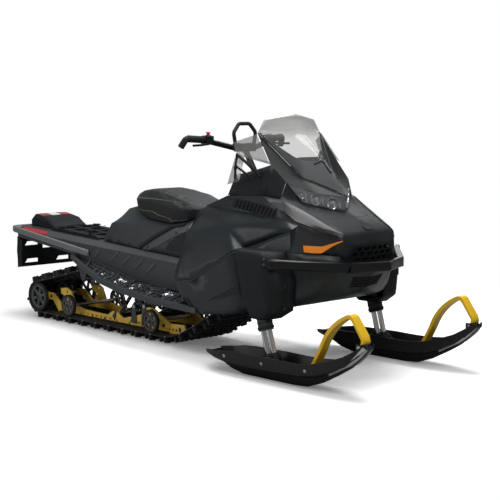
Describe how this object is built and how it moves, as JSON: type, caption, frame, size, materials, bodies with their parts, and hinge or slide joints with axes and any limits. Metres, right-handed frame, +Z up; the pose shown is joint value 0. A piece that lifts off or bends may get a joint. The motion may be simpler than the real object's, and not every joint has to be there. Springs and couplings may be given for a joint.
{
  "type": "snowmobile",
  "caption": "Utility snowmobile with a long wide track, twin-tube front legs, skis with handle loops, angular black bodywork, a tall screen and a rear rack.",
  "frame": {"origin": "middle of the length and width, on the floor the track and skis stand on", "axes": "+X forward, +Y to the left, +Z up"},
  "size_m": [3.12, 0.993, 1.268],
  "materials": {
    "body_black": "satin moulded panels",
    "gloss_black": "gloss moulded",
    "smoked_screen": "tinted clear",
    "lamp_lens": "clear lens over bright reflectors",
    "track_rubber": "matte",
    "rail_yellow": "satin paint",
    "loop_yellow": "satin moulded",
    "seat_cover": "matte grained",
    "dark_alloy": "satin paint",
    "bumper_grey": "satin paint",
    "tube_chrome": "polished",
    "bar_black": "satin paint",
    "grip_rubber": "matte",
    "lamp_red": "gloss",
    "wheel_grey": "satin with rubber rims",
    "steel": "brushed",
    "engine_metal": "cast"
  },
  "bodies": {
    "chassis": {"tunnel": "dark_alloy", "running_boards": "dark_alloy", "rear_bumper": "bumper_grey", "snow_flap": "body_black", "tail_lamp": "body_black", "reflectors": "lamp_red", "cargo_rack": "body_black", "tow_hitch": "steel", "seat_base": "body_black", "seat_cushion": "seat_cover", "engine_block": "engine_metal", "belly_pan": "body_black", "hood": "gloss_black", "nose_grille": "body_black", "side_panel_right": "body_black", "side_panel_left": "body_black", "console": "body_black", "windshield": "smoked_screen", "windshield_frame": "gloss_black", "wind_deflectors": "smoked_screen", "headlamps": "lamp_lens", "front_bumper": "gloss_black", "leg_shrouds": "body_black", "leg_bearings": "engine_metal", "track": "track_rubber", "rails": "rail_yellow", "idler_wheels": "wheel_grey", "wheel_shafts": "steel", "suspension_arms": "dark_alloy", "dampers": "steel", "drive_axle": "wheel_grey", "fuel_tank": "body_black", "bulkhead": "engine_metal"},
    "handlebar": {"handlebar": "bar_black", "grips": "grip_rubber", "controls": "bar_black", "grab_loop": "grip_rubber"},
    "leg_right": {"leg_tubes_right": "tube_chrome", "leg_sleeve_right": "bar_black"},
    "ski_right": {"ski_right": "body_black", "ski_loop_right": "loop_yellow"},
    "leg_left": {"leg_tubes_left": "tube_chrome", "leg_sleeve_left": "bar_black"},
    "ski_left": {"ski_left": "body_black", "ski_loop_left": "loop_yellow"}
  },
  "joints": [
    {"name": "steering", "type": "hinge", "parent": "chassis", "child": "handlebar", "pos_m": [0.33, 0, 1.085], "axis": [-0.5446, 0, 0.8387], "range_deg": [-30, 30]},
    {"name": "leg_right_steer", "type": "hinge", "parent": "chassis", "child": "leg_right", "pos_m": [0.945, -0.4065, 0.102], "axis": [-0.2756, 0, 0.9613], "range_deg": [-30, 30]},
    {"name": "ski_right_pitch", "type": "hinge", "parent": "leg_right", "child": "ski_right", "pos_m": [0.945, -0.4065, 0.102], "axis": [0, 1, 0], "range_deg": [-8, 8]},
    {"name": "leg_left_steer", "type": "hinge", "parent": "chassis", "child": "leg_left", "pos_m": [0.945, 0.4065, 0.102], "axis": [-0.2756, 0, 0.9613], "range_deg": [-30, 30]},
    {"name": "ski_left_pitch", "type": "hinge", "parent": "leg_left", "child": "ski_left", "pos_m": [0.945, 0.4065, 0.102], "axis": [0, 1, 0], "range_deg": [-8, 8]}
  ],
  "couplings": [
    {"joint": "leg_right_steer", "follows": "steering", "ratio": 1},
    {"joint": "leg_left_steer", "follows": "steering", "ratio": 1}
  ]
}
